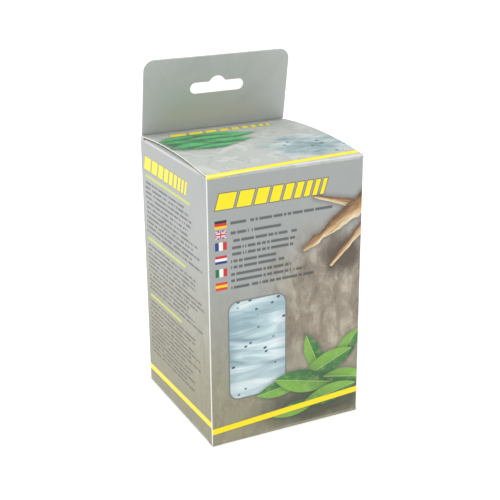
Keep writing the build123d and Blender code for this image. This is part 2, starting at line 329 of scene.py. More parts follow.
class Paint:
    # one material and its nodes: colour is what is laid so far
    def __init__(self, name):
        self.material = bpy.data.materials.new(name)
        self.material.use_nodes = True
        self.tree = self.material.node_tree
        self.shader = self.tree.nodes["Principled BSDF"]
        self.colour = None

    def node(self, kind, settings, inputs, output=0):
        # one node: its settings, its inputs by name or number, and the output that is read
        made = self.tree.nodes.new(kind)
        for key, value in settings.items():
            if key == "stops":
                ramp = made.color_ramp.elements
                while len(ramp) < len(value):
                    ramp.new(1.0)
                for stop, (place, colour) in zip(ramp, value):
                    stop.position = place
                    stop.color = (*colour, 1.0)
            else:
                setattr(made, key, value)
        for key, value in inputs.items():
            self.feed(made.inputs[key], value)
        return Field(self, made.outputs[output])

    def feed(self, socket, value):
        # a field is linked, and a plain value is set
        if isinstance(value, Field):
            self.tree.links.new(value.socket, socket)
        else:
            socket.default_value = (*value, 1.0) if socket.type == "RGBA" else value

    def numbers(self, place):
        # the three numbers of a place
        x = self.node("ShaderNodeSeparateXYZ", {}, {0: place})
        return [Field(self, socket) for socket in x.socket.node.outputs]

    def blank(self):
        # the blank's own coordinates, in millimetres
        u, v, _ = self.numbers(self.node("ShaderNodeUVMap", {"uv_map": "blank"}, {}))
        return u * 1000, v * 1000

    def objectPoint(self):
        return self.node("ShaderNodeTexCoord", {}, {}, "Object")

    def at(self, u, v, w=0.0):
        return self.node("ShaderNodeCombineXYZ", {}, {0: u, 1: v, 2: w})

    def mix(self, under, over, share):
        return self.node("ShaderNodeMix", {"data_type": "RGBA"}, {0: share, 6: under, 7: over}, 2)

    def lay(self, over, share):
        # a colour over what is laid so far, by its share
        self.colour = self.mix(self.colour, over, share)

    def noise(self, place, scale, detail=3.0, rough=0.55, distortion=0.0):
        values = {"Vector": place, "Scale": scale, "Detail": detail, "Roughness": rough,
                  "Distortion": distortion}
        return self.node("ShaderNodeTexNoise", {}, values)

    def dots(self, place, scale):
        # small round specks, one to a cell
        values = {"Vector": place, "Scale": scale, "Randomness": 1.0}
        cell = self.node("ShaderNodeTexVoronoi", {"feature": "F1"}, values)
        return (cell - 0.17).inside(0.05)

    def ramp(self, value, stops):
        return self.node("ShaderNodeValToRGB", {"stops": stops}, {0: value})

    def bump(self, height, strength, distance):
        return self.node("ShaderNodeBump", {}, {"Strength": strength, "Distance": distance, "Height": height})

    def finish(self, **values):
        for name, value in values.items():
            self.feed(self.shader.inputs[name.replace("_", " ")], value)
        return self.material


def tone(r, g, b):
    # screen colour of 0 to 255 to the linear values of a shader
    c = np.array([r, g, b]) / 255
    return tuple(float(x) for x in np.where(c < 0.04045, c / 12.92, ((c + 0.055) / 1.055) ** 2.4))


inks = {
    "silver": tone(159, 163, 161),
    "silverPlain": tone(176, 181, 177),
    "silverDark": tone(148, 151, 149),
    "stone": tone(146, 142, 118),
    "stoneDark": tone(112, 102, 86),
    "stoneLight": tone(190, 184, 168),
    "moss": tone(118, 116, 84),
    "yellow": tone(250, 226, 0),
    "yellowEdge": tone(84, 84, 56),
    "lime": tone(196, 205, 70),
    "text": tone(62, 66, 70),
    "sideText": tone(44, 48, 52),
    "paleBlue": tone(176, 200, 206),
    "deepBlue": tone(96, 128, 142),
    "frame": tone(110, 116, 112),
    "speck": tone(34, 46, 50),
    "white": tone(238, 238, 234),
}
# shaded half, lit half, veins, light patches and midrib, dark surround
greens = [tone(66, 128, 66), tone(126, 178, 72), tone(40, 92, 52), tone(190, 214, 120), tone(38, 58, 44)]
teals = [tone(20, 140, 92), tone(70, 186, 110), tone(10, 92, 70), tone(170, 220, 120), tone(30, 62, 52)]


# Printed shapes, as distances in millimetres that are negative inside

def slantBar(u, v, x, y, halfLong, halfHigh, slope):
    # bar whose long axis rises by slope
    up = v - y - (u - x) * slope
    return (abs(u - x) - halfLong).over(abs(up) - halfHigh)


def roundBox(u, v, x, y, halfLong, halfHigh, corner):
    # distance to a smaller box, less the corner's radius
    across = (abs(u - x) - (halfLong - corner)).over(0)
    up = (abs(v - y) - (halfHigh - corner)).over(0)
    return (across * across + up * up).root() - corner


def oval(u, v, x, y, halfLong, halfHigh):
    # share of the way from the middle to the edge, less 1, times the lesser half axis
    across, up = (u - x) / halfLong, (v - y) / halfHigh
    return ((across * across + up * up).root() - 1) * min(halfLong, halfHigh)


def slashes(u, v, x, y, high, scale=1.0, slant=0.3):
    # row of slanted blocks with even gaps, each narrower than the one before it
    lean = u - (v - y) * slant
    shape, blockWide = None, 9.6 * scale
    for i in range(9):
        block = (abs(lean - x - blockWide / 2) - blockWide / 2).over(abs(v - y) - high / 2)
        shape = block if shape is None else shape.under(block)
        x += blockWide + 1.8 * scale
        blockWide *= 0.83
    return shape


def outlined(p, shape, edgeWide, fill=inks["yellow"], edge=inks["yellowEdge"]):
    # soft edge colour this far past the shape, then the fill inside it
    p.lay(edge, (shape - edgeWide).inside(0.35) * 0.75)
    p.lay(fill, shape.inside(0.2))


def paintLeaf(p, u, v, leaf, tints):
    # where two equal circles cross, with a lit and a shaded half, side veins and a pale midrib
    x, y, angle, halfLong, halfAcross = leaf
    c, s = float(np.cos(np.radians(angle))), float(np.sin(np.radians(angle)))
    along = (u - x) * c + (v - y) * s
    aside = (v - y) * c - (u - x) * s
    radius = (halfLong ** 2 + halfAcross ** 2) / (2 * halfAcross)
    out = abs(aside) + (radius - halfAcross)
    shape = (along * along + out * out).root() - radius
    veins = ((along - abs(aside) * 1.3) / 1.7).fraction()
    leafTone = p.mix(tints[0], tints[1], (aside / (0.3 * halfAcross) + 0.5).clamped())
    leafTone = p.mix(leafTone, tints[2], (abs(veins - 0.5) - 0.36).inside(0.25) * -0.35 + 0.35)
    shade = ((along / halfLong) * -0.35 + 0.2 - aside / halfAcross * 0.2).clamped()
    leafTone = p.mix(leafTone, tints[4], shade)
    leafTone = p.mix(leafTone, tints[3], ((p.noise(p.at(u, v, x), 0.2, 4, 0.7) - 0.5) * 2.2).clamped() * 0.6)
    leafTone = p.mix(leafTone, tints[3], (abs(aside) - 0.18).inside(0.3) * 0.7)
    p.lay(tints[4], (shape - 0.8).inside(2.4) * 0.5)
    p.lay(leafTone, shape.inside(0.25))


def paintLines(p, u, v, block, ink, cell=0.72):
    # rows of short bars, each cell of a row inked or not by chance
    left, top, longest, rows, pitch, seed = block
    row = ((top - v) / pitch).floor()
    across = u - left
    length = p.node("ShaderNodeTexWhiteNoise", {"noise_dimensions": "1D"}, {"W": row * 7.3 + seed})
    place = p.at((across / cell).floor(), row + seed)
    word = p.node("ShaderNodeTexWhiteNoise", {"noise_dimensions": "2D"}, {"Vector": place})
    inRow = (abs(((top - v) / pitch).fraction() - 0.5) - 0.2).inside(0.18)
    inBlock = (across > 0) * (across < (length * 0.35 + 0.65) * longest) * (row > -0.5) * (row < rows - 0.5)
    p.lay(ink, inRow * inBlock * (word > 0.17) * 0.82)


def paintFlag(p, u, v, x, y, upright, bands, halfLong=3.2, halfHigh=2.1):
    # three stripes, or an upright cross over a slanted one where upright is None
    if upright is None:
        across, up = abs(u - x), abs(v - y)
        slanted = abs(up - across * 0.656) * 0.836
        stripes = p.mix(bands[0], bands[1], (slanted - 0.42).inside(0.15))
        stripes = p.mix(stripes, bands[2], (slanted - 0.13).inside(0.15))
        straight = across.under(up)
        stripes = p.mix(stripes, bands[1], (straight - 0.68).inside(0.15))
        stripes = p.mix(stripes, bands[2], (straight - 0.4).inside(0.15))
    else:
        place = (u - x) / (2 * halfLong) if upright else (y - v) / (2 * halfHigh)
        stripes = p.mix(bands[0], bands[1], place > -0.17)
        stripes = p.mix(stripes, bands[2], place > 0.17)
    p.lay(stripes, roundBox(u, v, x, y, halfLong, halfHigh, 0.2).inside(0.2))


def paintBranch(p, u, v, start, end, thick, thin, barks):
    # dry branch between two points: its thickness tapers, its upper side is lit, and its bark runs along it
    dx, dy = end[0] - start[0], end[1] - start[1]
    long = (dx * dx + dy * dy) ** 0.5
    share = (((u - start[0]) * dx + (v - start[1]) * dy) / long ** 2).clamped()
    px, py = u - start[0] - share * dx, v - start[1] - share * dy
    aside = (py * dx - px * dy) / long
    knob = p.noise(p.at(share * long * 0.10, aside * 0.02, thick), 1.0, 3, 0.6)
    radius = share * (thin - thick) + thick + (knob - 0.5) * thick * 0.9
    shape = (px * px + py * py).root() - radius
    grain = p.noise(p.at(share * long * 0.12, aside * 0.9, 3.0 + thick), 1.0, 6, 0.7, 0.6)
    lit = (aside / radius * 0.32 + grain * 0.9 + 0.05).clamped()
    p.lay(tone(74, 60, 46), (shape - 1.0).inside(3.5) * 0.6)
    p.lay(p.ramp(lit, barks), shape.inside(0.3))


def printed(name, lift=0.0, silver=inks["silver"]):
    # silver-grey that turns to brown-grey marbled stone: its share grows down the panel
    # and with a broad noise
    p = Paint(name)
    u, v = p.blank()
    place = p.at(u, v)
    big = p.noise(place, 0.035, 4, 0.6, 0.4)
    fine = p.noise(p.at(u * 1.1, v * 0.42, 1.0), 0.24, 6, 0.66, 0.5)
    down = ((96.0 - v) / 70 + (big - 0.5) * 0.9 - lift).clamped()
    p.colour = p.mix(silver, inks["stone"], down)
    p.lay(inks["silverDark"], ((big - 0.52) * 4).clamped() * 0.4)
    vein = abs(p.noise(p.at(u, v * 0.5, 4.0), 0.05, 7, 0.7, 0.5) - 0.5)
    p.lay(inks["stoneDark"], (vein - 0.012).inside(0.03) * down * 0.4)
    p.lay(inks["stoneLight"], ((fine - 0.55) * 4).clamped() * (down * 0.35 + 0.15))
    p.lay(inks["stoneDark"], ((0.42 - fine) * 4).clamped() * (down * 0.45 + 0.04))
    return p, u, v


def laminated(p, u, v, folds=()):
    # pale lines along the folds, partly rubbed wear and partly painted highlight on the rounded fold,
    # each with its half width and share, under a gloss film with faint ripples
    if folds:
        grain = p.noise(p.at(u, v, 7.0), 0.9, 3, 0.6)
    for fold, half, share in folds:
        # painted highlight and rubbed wear: a pale line along each fold
        p.lay(inks["white"], (abs(fold) - half).inside(0.45) * ((grain - 0.12) * 4).clamped() * share)
    peel = p.noise(p.at(u, v, 2.0), 0.35, 2, 0.5)
    rub = p.noise(p.at(u, v, 11.0), 0.12, 4, 0.7)
    normal = p.bump(peel, 0.25, 0.00012)
    return p.finish(
        Base_Color=p.colour, Roughness=rub * 0.16 + 0.36, Specular_IOR_Level=0.3, Normal=normal,
        Coat_Weight=0.4, Coat_Roughness=0.12, Coat_IOR=1.45)


def sleeveFolds(u, v):
    # distance to each crease, with the half width and the share of its pale line, partly rubbed wear and
    # partly painted highlight
    return [(u, 0.36, 0.95), (u - wideMm, 0.3, 0.6), (u + deepMm, 0.3, 0.5),
            (u - wideMm - deepMm, 0.3, 0.5), (v - tallMm, 0.3, 0.35), (v, 0.35, 0.4)]


# Places on a print are in millimetres from the panel's lower left corner.

frontMarks = {
    "slashes": (5.5, 133.0, 8.0),
    "stripe": (44, 11.1, 60, 1.65, 0.057),
    "window": (27, 52, 16, 27, 5),
    "flagX": 7.1,
    "lineX": 12.4,
    "linePitch": 3.7,
    # start, end, thickness at each of them
    "branches": [((94, 114), (70, 90), 2.6, 1.0), ((84, 121), (60, 128), 2.2, 0.8),
                 ((96, 126), (54, 101), 6.2, 1.7)],
    # middle, turn in degrees, half length and half width
    "leaves": [(60, 41, 112, 12, 4.8), (80, 40, 52, 13, 5.0), (40, 25, 186, 14, 4.6), (68, 33, 22, 17, 6.4),
               (54, 26, 166, 18, 6.6), (80, 23, -12, 14, 5.0), (50, 11, 190, 14, 4.0), (70, 15, 10, 17, 5.4)],
}
red, blue, white = tone(202, 36, 34), tone(38, 54, 130), tone(240, 240, 238)
# height, longest line, rows of lines, upright stripes, colours
flags = [
    (121.4, 62, 1, False, (tone(30, 28, 28), tone(206, 40, 30), tone(250, 196, 20))),
    (116.2, 43, 1, None, (blue, white, red)),
    (110.2, 44, 2, True, (blue, white, red)),
    (103.2, 36, 2, False, (red, white, blue)),
    (96.3, 35, 2, True, (tone(24, 112, 62), white, red)),
    (89.2, 48, 2, False, (tone(206, 60, 30), tone(250, 200, 20), tone(206, 60, 30))),
]
barks = [(0.2, tone(92, 66, 44)), (0.45, tone(160, 122, 80)), (0.62, tone(206, 176, 128)),
         (0.85, tone(232, 218, 186))]
rocks = [(0.3, tone(96, 84, 70)), (0.5, tone(146, 134, 116)), (0.7, tone(196, 186, 168))]


def printFront():
    p, u, v = printed("printedBoardFront")
    # cracked brown stone behind the right half
    rock = p.noise(p.at(u, v * 0.55, 1.5), 0.12, 8, 0.72, 0.35)
    zone = (oval(u, v, 70, 70, 34, 40) + (rock - 0.5) * 26).inside(22)
    p.lay(p.ramp(rock, rocks), zone * 0.85)
    # dark hollow and dry branches at the upper right
    p.lay(tone(80, 66, 54), (oval(u, v, 78, 94, 13, 10) + (rock - 0.5) * 9).inside(9) * 0.85)
    for branch in frontMarks["branches"]:
        paintBranch(p, u, v, *branch, barks)
    outlined(p, slashes(u, v, *frontMarks["slashes"]), 0.5)
    # common flags with lines beside them
    for i, (y, longest, rows, upright, bands) in enumerate(flags):
        paintFlag(p, u, v, frontMarks["flagX"], y, upright, bands)
        pitch = frontMarks["linePitch"]
        block = (frontMarks["lineX"], y + pitch / 2 * rows, longest, rows, pitch, 3.0 + i)
        paintLines(p, u, v, block, inks["text"])
    # pale blue window with ripples and dark specks
    middle = frontMarks["window"][0]
    window = roundBox(u, v, *frontMarks["window"])
    ripple = p.noise(p.at(u * 0.3, v * 1.6, 9.0), 0.10, 3, 0.5, 0.8)
    sheen = p.ramp(ripple, [(0.3, tone(120, 150, 160)), (0.5, inks["paleBlue"]), (0.64, tone(222, 234, 236))])
    shade = p.mix(sheen, inks["deepBlue"], ((abs(u - middle) - 10) / 8).clamped() * 0.45)
    shade = p.mix(shade, tone(206, 216, 216), ((48 - v) / 30).clamped() * 0.5)
    speck = p.dots(p.at(u * 1.1 + v * 0.5, v * 1.7 - u * 0.5), 0.14)
    outlined(p, window, 0.9, p.mix(shade, inks["speck"], speck * 0.9), inks["frame"])
    # leaves at the lower right, over their shadow
    p.lay(tone(58, 64, 50), (oval(u, v, 64, 12, 34, 12) + (rock - 0.5) * 10).inside(9) * 0.85)
    for leaf in frontMarks["leaves"]:
        paintLeaf(p, u, v, leaf, greens)
    outlined(p, slantBar(u, v, *frontMarks["stripe"]), 0.3)
    return laminated(p, u, v, sleeveFolds(u, v))


sideMarks = {
    "slashes": (5, 134.0, 7.6, 0.95),
    "stripe": (43, 11.4, 60, 1.7, 0.032),
    # left, top, longest, number of rows, pitch and a seed
    "blocks": [(5, 124.5, 76.0, 11, 2.8, 1.0), (5, 88.5, 78.0, 11, 2.6, 5.0), (5, 54.5, 76.0, 13, 2.55, 9.0)],
}


def moved(x, marks):
    # marks measured from a panel's left edge, brought to the panel's place on the blank
    return (x + marks[0], *marks[1:])


def printSide(name, x):
    # paragraphs under thin headings, between a row of blocks and a slanted line, over a foot darkened as
    # painted shade
    p, u, v = printed(name, -0.22)
    # painted shade: the print is laid darker towards the wall's foot
    p.lay(inks["moss"], ((62.0 - v) / 60).clamped() * 0.55)
    outlined(p, slashes(u, v, *moved(x, sideMarks["slashes"])), 0.3)
    for i, block in enumerate(sideMarks["blocks"]):
        paintLines(p, u, v, moved(x, block), inks["sideText"])
        heading = slantBar(u, v, x + 36 - 4 * i, block[1] + 2.4, 30 - 4 * i, 0.7, 0.0)
        p.lay(inks["lime"], heading.inside(0.3) * 0.9)
    outlined(p, slantBar(u, v, *moved(x, sideMarks["stripe"])), 0.25)
    # the dust flap's crease gets the same pale line, partly rubbed wear and partly painted highlight
    return laminated(p, u, v, sleeveFolds(u, v) + [(v - (tallMm - sideDrop * 1000), 0.25, 0.5)])


rearMarks = {
    "blocks": [(8, 126.0, 68.0, 9, 2.8, 2.0), (8, 62.0, 70.0, 13, 2.6, 6.0)],
    "windowFirst": 19,
    "windowPitch": 25,
}


def printRear():
    # lines over and under a row of windows
    p, u, v = printed("printedBoardRear")
    x = -(deepMm + wideMm)
    outlined(p, slashes(u, v, *moved(x, sideMarks["slashes"])), 0.3)
    paintLines(p, u, v, moved(x, rearMarks["blocks"][0]), inks["text"])
    # three windows with a leaf each
    for i in range(3):
        middle = x + rearMarks["windowFirst"] + i * rearMarks["windowPitch"]
        window = roundBox(u, v, middle, 80, 10.5, 13, 2.5)
        ripple = p.noise(p.at(u, v * 1.4, 3.0 * i), 0.12, 3)
        stops = [(0.35, inks["deepBlue"]), (0.5, inks["paleBlue"]), (0.66, tone(226, 236, 236))]
        sheen = p.ramp(ripple, stops)
        outlined(p, window, 0.5, sheen, inks["frame"])
        paintLeaf(p, u, v, (middle, 74 + 2 * i, 30 + 40 * i, 9, 3.4), greens)
    paintLines(p, u, v, moved(x, rearMarks["blocks"][1]), inks["text"])
    outlined(p, slantBar(u, v, *moved(x, frontMarks["stripe"])), 0.25)
    return laminated(p, u, v, sleeveFolds(u, v))


lidMarks = {
    "slashes": (12, 74.0, 6.5),
    "stripe": (44, 2.6, 60, 1.6, 0.055),
    "leaves": [(12, 64, 14, 12, 4.6), (34, 66, -16, 15, 5.0), (12, 55, -8, 13, 4.6), (42, 57, 10, 14, 4.4),
               (26, 58, 4, 14, 4.8), (14, 46, 6, 14, 5.4), (34, 49, -5, 15, 4.8), (24, 41, 3, 13, 3.4)],
}


def printLid():
    # s runs back over the lid from its front fold
    p, u, v = printed("printedBoardLid", 0.2, inks["silverPlain"])
    s = v - tallMm
    marble = p.noise(p.at(u, v, 8.0), 0.05, 5, 0.6, 1.4)
    p.lay(tone(222, 222, 216), ((marble - 0.45) * 3).clamped() * 0.6)
    p.lay(tone(140, 138, 134), ((0.02 - abs(marble - 0.5)) * 40.0).clamped() * 0.6)
    # pale blue pool at the right, with specks
    pool = oval(u, s, 72, 24, 24, 15) + (p.noise(p.at(u, s, 2.0), 0.09, 4) - 0.5) * 18
    ripple = p.noise(p.at(u * 0.6, s * 1.5, 4.0), 0.12, 4)
    stops = [(0.32, tone(96, 126, 136)), (0.5, tone(150, 172, 174)), (0.68, tone(196, 206, 204))]
    water = p.ramp(ripple, stops)
    p.lay(water, pool.inside(8) * 0.9)
    speck = p.dots(p.at(u * 1.1 + s * 0.5, s * 1.7 - u * 0.4), 0.12)
    p.lay(inks["speck"], speck * pool.inside(3) * 0.9)
    # leaves over a dark thicket at the rear left
    p.lay(tone(34, 52, 46), (oval(u, s, 22, 54, 22, 17) + (marble - 0.5) * 20).inside(5) * 0.85)
    for leaf in lidMarks["leaves"]:
        paintLeaf(p, u, s, leaf, teals)
    outlined(p, slashes(u, s, *lidMarks["slashes"]), 0.4)
    outlined(p, slantBar(u, s, *lidMarks["stripe"]), 0.15)
    # pale line at the front fold, partly rubbed wear and partly painted highlight
    return laminated(p, u, v, [(s, 0.35, 0.4)])


# scale, detail and roughness of the noises, then tones, shares, roughness, gloss and relief
pulps = {
    "whiteBoard": {
        "fibre": (900.0, 4, 0.7, 0.5), "patch": (40.0, 3),
        "tones": (tone(226, 224, 216), tone(240, 239, 233)), "shares": (0.6, 0.4),
        "rough": (0.2, 0.75), "gloss": 0.3, "relief": (0.3, 0.00006),
    },
    "cutBoardEdge": {
        "fibre": (2200.0, 3, 0.7), "patch": (160.0, 3, 0.6),
        "tones": (tone(214, 210, 200), tone(246, 245, 240)), "shares": (0.5, 0.6),
        "rough": (0.1, 0.82), "gloss": 0.25, "relief": (0.5, 0.00005),
    },
}


def rawBoard(name):
    # uncoated board: short fibres over broad patches
    pulp = pulps[name]
    p = Paint(name)
    place = p.objectPoint()
    fibre = p.noise(place, *pulp["fibre"])
    patch = p.noise(place, *pulp["patch"])
    colour = p.mix(*pulp["tones"], fibre * pulp["shares"][0] + patch * pulp["shares"][1])
    return p.finish(Base_Color=colour, Roughness=fibre * pulp["rough"][0] + pulp["rough"][1],
                    Specular_IOR_Level=pulp["gloss"], Normal=p.bump(fibre, *pulp["relief"]))


def clearPlastic():
    # thin formed clear sheet, denser where it is seen edge on, with faint draw lines and rubbed patches
    p = Paint("clearPlastic")
    place = p.objectPoint()
    stretched = p.node("ShaderNodeMapping", {}, {"Vector": place, "Scale": (260.0, 260.0, 14.0)})
    draw = p.noise(stretched, 1.0, 3, 0.6)
    rub = p.noise(place, 90.0, 4, 0.65)
    facing = p.node("ShaderNodeLayerWeight", {}, {"Blend": 0.4}, "Facing")
    edgeOn = facing * facing
    colour = p.mix(tone(214, 228, 232), tone(118, 138, 148), edgeOn)
    alpha = (edgeOn * 0.75 + (rub - 0.5) * 0.25 + 0.12).clamped()
    return p.finish(Base_Color=colour, Roughness=rub * 0.12 + 0.05, Alpha=alpha, Specular_IOR_Level=0.6,
                    Normal=p.bump(draw, 0.2, 0.0002), Coat_Weight=0.4, Coat_Roughness=0.05)


def gauze(threads=1700):
    # open plain weave of thin white threads
    p = Paint("gauze")
    place = p.objectPoint()
    bend = p.noise(place, 130.0, 2)
    x, y, z = p.numbers(place)
    warp = abs(((x + y * 0.3 + bend * 0.004) * threads).fraction() - 0.5)
    weft = abs(((z + y * 0.4 - bend * 0.004) * threads).fraction() - 0.5)
    thread = warp.under(weft)
    colour = p.mix(tone(206, 206, 200), tone(246, 246, 242), (thread * -2.4 + 1.1).clamped())
    return p.finish(Base_Color=colour, Roughness=thread * 0.1 + 0.86, Sheen_Weight=0.35, Sheen_Roughness=0.5,
                    Specular_IOR_Level=0.2, Normal=p.bump(1 - thread, 0.6, 0.0001))


whiteBoard = rawBoard("whiteBoard")
cutEdge = rawBoard("cutBoardEdge")
plainPrint = laminated(*printed("printedBoardPlain", 0.25, inks["silverPlain"]))
frontPrint = printFront()
leftPrint = printSide("printedBoardLeft", -deepMm)
rightPrint = printSide("printedBoardRight", wideMm)
rearPrint = printRear()
lidPrint = printLid()
plastic = clearPlastic()
wadCloth = gauze()
print("materials made")


# Sleeve

wallRows = int(tall / carton["gridStep"])
lidSlope = (lidRise + 4 * carton["lidBow"]) / (lidRear[1] - frontAxisY)
lidFold = foldPath((-halfDeep, -lidSlope * (halfDeep + frontAxisY)), (0, 1), (1, lidSlope))
bottomFold = foldPath((-halfDeep, 0), (0, 1), (1, 0))
dustFront = frontAxisY + carton["dustStart"]
topDustBack = lidRear[1] - carton["dustRearGap"]
bottomDustBack = bottomRear[1] - carton["dustRearGap"]
foldBelow = foldRadius + foldFlat
sideHigh = tall - sideDrop
rearEdge = sideHigh + lidRise - carton["edgeGap"]


def wallPiece(name, node, ink, frameOf, ends, rounded, lowAt, highAt, u0, steps=()):
    # columns follow the wall and half of each rounded corner, rows go up: both edges may step with the column
    origin, along, outward = (np.array(a, float) for a in frameOf)
    a0, a1 = ends[0] + foldRadius * rounded[0], ends[1] - foldRadius * rounded[1]
    straight = spread(a0, a1, steps)
    columns = [np.stack([straight, 0 * straight, 0 * straight + np.pi / 2, straight])]
    share = np.linspace(0, 1, 6)[:-1]
    arc = np.radians(135 - 45 * share)
    # place along the wall, depth, direction of the normal and place on the blank,
    # from the corner's middle inwards
    for isRound, edge, limit, sign in zip(rounded, (a0, a1), ends, (1, -1)):
        corner = np.stack([edge + sign * foldRadius * np.cos(arc), foldRadius * (np.sin(arc) - 1),
                           np.pi / 2 + sign * (arc - np.pi / 2), limit + sign * foldRadius * share])
        if isRound:
            columns = [corner] + columns if sign > 0 else columns + [corner[:, ::-1]]
    a, b, turn, u = np.concatenate(columns, 1)
    low, high = lowAt(a), highAt(a)
    rows = np.linspace(0, 1, wallRows)[:, None]
    z = low + (high - low) * rows
    # the wall's middle sags inwards by a sine each way, uneven by five slow waves
    share = np.clip((a - a0) / (a1 - a0), 0, 1)
    waves = np.random.default_rng(len(name) * 7 + 3).uniform(0.4, 1.8, (5, 3)) * [1, 1, 3]
    ripple = sum(np.sin(2 * np.pi * (across * share + up * rows) + phase) for across, up, phase in waves)
    sag = carton["sag"] * np.sin(np.pi * share) ** 0.8 * np.sin(np.pi * rows) ** 0.6
    sag = sag * (0.7 + 0.3 * ripple / len(waves))
    normal = np.cos(turn)[:, None] * along + np.sin(turn)[:, None] * outward
    outer = origin + a[:, None] * along + (b - sag)[..., None] * outward + stacked(0, 0, z)
    fitted(boardPiece(name, outer, normal, u + u0, z, ink), "carton", node)


def level(value):
    # the same height in every column
    return lambda a: np.full(np.shape(a), value)


def sideLevels(sign, top):
    # a side wall ends at its flap's fold piece, and at its own cut edge beyond the flap
    gap, foldLong = carton["edgeGap"], foldBelow + carton["dustSink"]
    if top:
        front, fold, edge, back = sideHigh - gap, sideHigh - foldLong, rearEdge, topDustBack
    else:
        front, fold, edge, back = sideDrop + gap, sideDrop + foldLong, sideDrop + gap, bottomDustBack
    return lambda a: np.where(sign * a < dustFront, front, np.where(sign * a < back, fold, edge))


def rearHigh(a):
    # up to the tab's fold in the middle, and to the wall's own cut edge beside it
    return np.where(abs(a) < halfTab, tabFold[2] - foldFlat, rearEdge)


# each wall has its foot's middle, the way along it and the way out, its ends and which of them are rounded
wallPiece("frontWall", "front_wall", frontPrint, ((0, -halfDeep, 0), (1, 0, 0), (0, -1, 0)),
          (-halfWide, halfWide), (True, True), level(foldBelow), level(tall + lidFold[0][0, 1]), halfWide)
wallPiece("rightWall", "right_wall", rightPrint, ((halfWide, 0, 0), (0, 1, 0), (1, 0, 0)),
          (-halfDeep, halfDeep), (True, False), sideLevels(1, False), sideLevels(1, True), wide + halfDeep,
          (dustFront, topDustBack, bottomDustBack))
wallPiece("leftWall", "left_wall", leftPrint, ((-halfWide, 0, 0), (0, -1, 0), (-1, 0, 0)),
          (-halfDeep, halfDeep), (True, True), sideLevels(-1, False), sideLevels(-1, True), -halfDeep,
          (-dustFront, -topDustBack, -bottomDustBack))
wallPiece("rearWall", "rear_wall", rearPrint, ((0, halfDeep, 0), (-1, 0, 0), (0, 1, 0)),
          (-halfWide + board, halfWide), (True, True), level(carton["rearFoot"]), rearHigh, -deep - halfWide,
          (-halfTab, halfTab))


def seamFlap(rows=60):
    # glued inside the right wall, with slanted ends
    y = spread(halfDeep - carton["seamWide"], halfDeep - foldRadius)
    end = carton["seamEnd"] + (halfDeep - y) * np.tan(np.radians(carton["seamTaper"]))
    low, high = sideDrop + end, sideHigh - end
    z = low + (high - low) * np.linspace(0, 1, rows)[:, None]
    outer = stacked(halfWide - board, y, z)
    piece = boardPiece("seamFlap", outer, (1.0, 0, 0), y - wide - deep - halfDeep, z, plainPrint)
    fitted(piece, "carton", "seam_flap")


seamFlap()
print("sleeve made")


# Closures. Local height h is 0 at the closure's front fold and grows out of the carton.

halfPanel = halfWide - carton["closureInset"]
halfNeck = halfPanel - carton["slitLong"]
tuckLean = np.radians(carton["tuckLean"])
tuckWay = np.array([-np.sin(tuckLean), -np.cos(tuckLean)])


def lidHeight(y):
    # straight line between the folds, raised by a parabola
    q = (y - frontAxisY) / (lidRear[1] - frontAxisY)
    return lidRise * q + 4 * carton["lidBow"] * q * (1 - q)


def bottomHeight(y):
    # flat
    return 0 * y


def slopeOf(height, y, reach=1e-5):
    # rise between two near places, divided by the distance between them
    return (height(y + reach) - height(y - reach)) / (2 * reach)


closures = {
    "lid": {
        "height": lidHeight, "rear": lidRear[1], "base": tall, "sign": 1, "front": lidFold,
        "ink": lidPrint,
        "panel": ("lidPanel", "lid_panel", "lid"), "tuck": ("lidTuckFlap", "lid_tuck_flap", "lid_tuck"),
        "dust": ("topDustFlap", "top_dust_flap", "top_dust"), "dustInk": (leftPrint, rightPrint),
    },
    "bottom": {
        "height": bottomHeight, "rear": bottomRear[1], "base": 0, "sign": -1, "front": bottomFold,
        "ink": plainPrint,
        "panel": ("bottomPanel", "bottom_panel", "bottom"),
        "tuck": ("bottomTuckFlap", "bottom_tuck_flap", "bottom_tuck"),
        "dust": ("bottomDustFlap", "bottom_dust_flap", "bottom_dust"), "dustInk": (plainPrint, plainPrint),
    },
}


def outAt(close, h):
    # height over the floor, or place on the blank, of what lies h out of the carton
    return close["base"] + close["sign"] * h


def fromSection(name, section, sectionNormal, along, x, halfAt, close, ink):
    # a section in y and h carried across x: each row may have its own half width
    across = x * np.broadcast_to(halfAt, len(section))[:, None]
    y, h = section.T[..., None]
    normalY, normalH = sectionNormal.T[..., None]
    normal = stacked(0.0, normalY, close["sign"] * normalH)
    return boardPiece(name, stacked(across, y, outAt(close, h)), normal, across + halfWide,
                      outAt(close, along)[:, None], ink)


def closure(close):
    # front fold, panel, tuck's fold and tuck lie on one path in y and h,
    # and each starts where the last one ends
    points, normals, along = close["front"]
    name, node, body = close["panel"]
    x = np.concatenate([[-1], np.linspace(-0.99, 0.99, 40), [1]])
    # the fold is as wide as the wall where it leaves it, and as wide as the panel where it meets it
    half = np.linspace(halfWide - carton["foldGap"], halfPanel, len(points))
    fold = fromSection(name + "Fold", points, normals, along, x, half, close, close["ink"])
    points[0, 0] + board
    outAt(close, points[0, 1])
    outAt(close, points[-1, 1] - board)
    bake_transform(fold)
    slope = slopeOf(close["height"], close["rear"])
    corner = np.array([close["rear"] + bead, close["height"](close["rear"]) + slope * bead])
    tuckFold = foldPath(corner, (1, slope), tuckWay, carton["tuckRadius"], carton["tuckFlat"])
    front, rear = points[-1, 0], tuckFold[0][0, 0]
    closurePanel(close, front, rear, corner[0], along[-1])
    tuckFlap(close, tuckFold, corner, along[-1] + rear - front)
    for side, sign in enumerate((-1, 1)):
        dustFlap(close, sign, ("left", "right")[side], close["dustInk"][side])


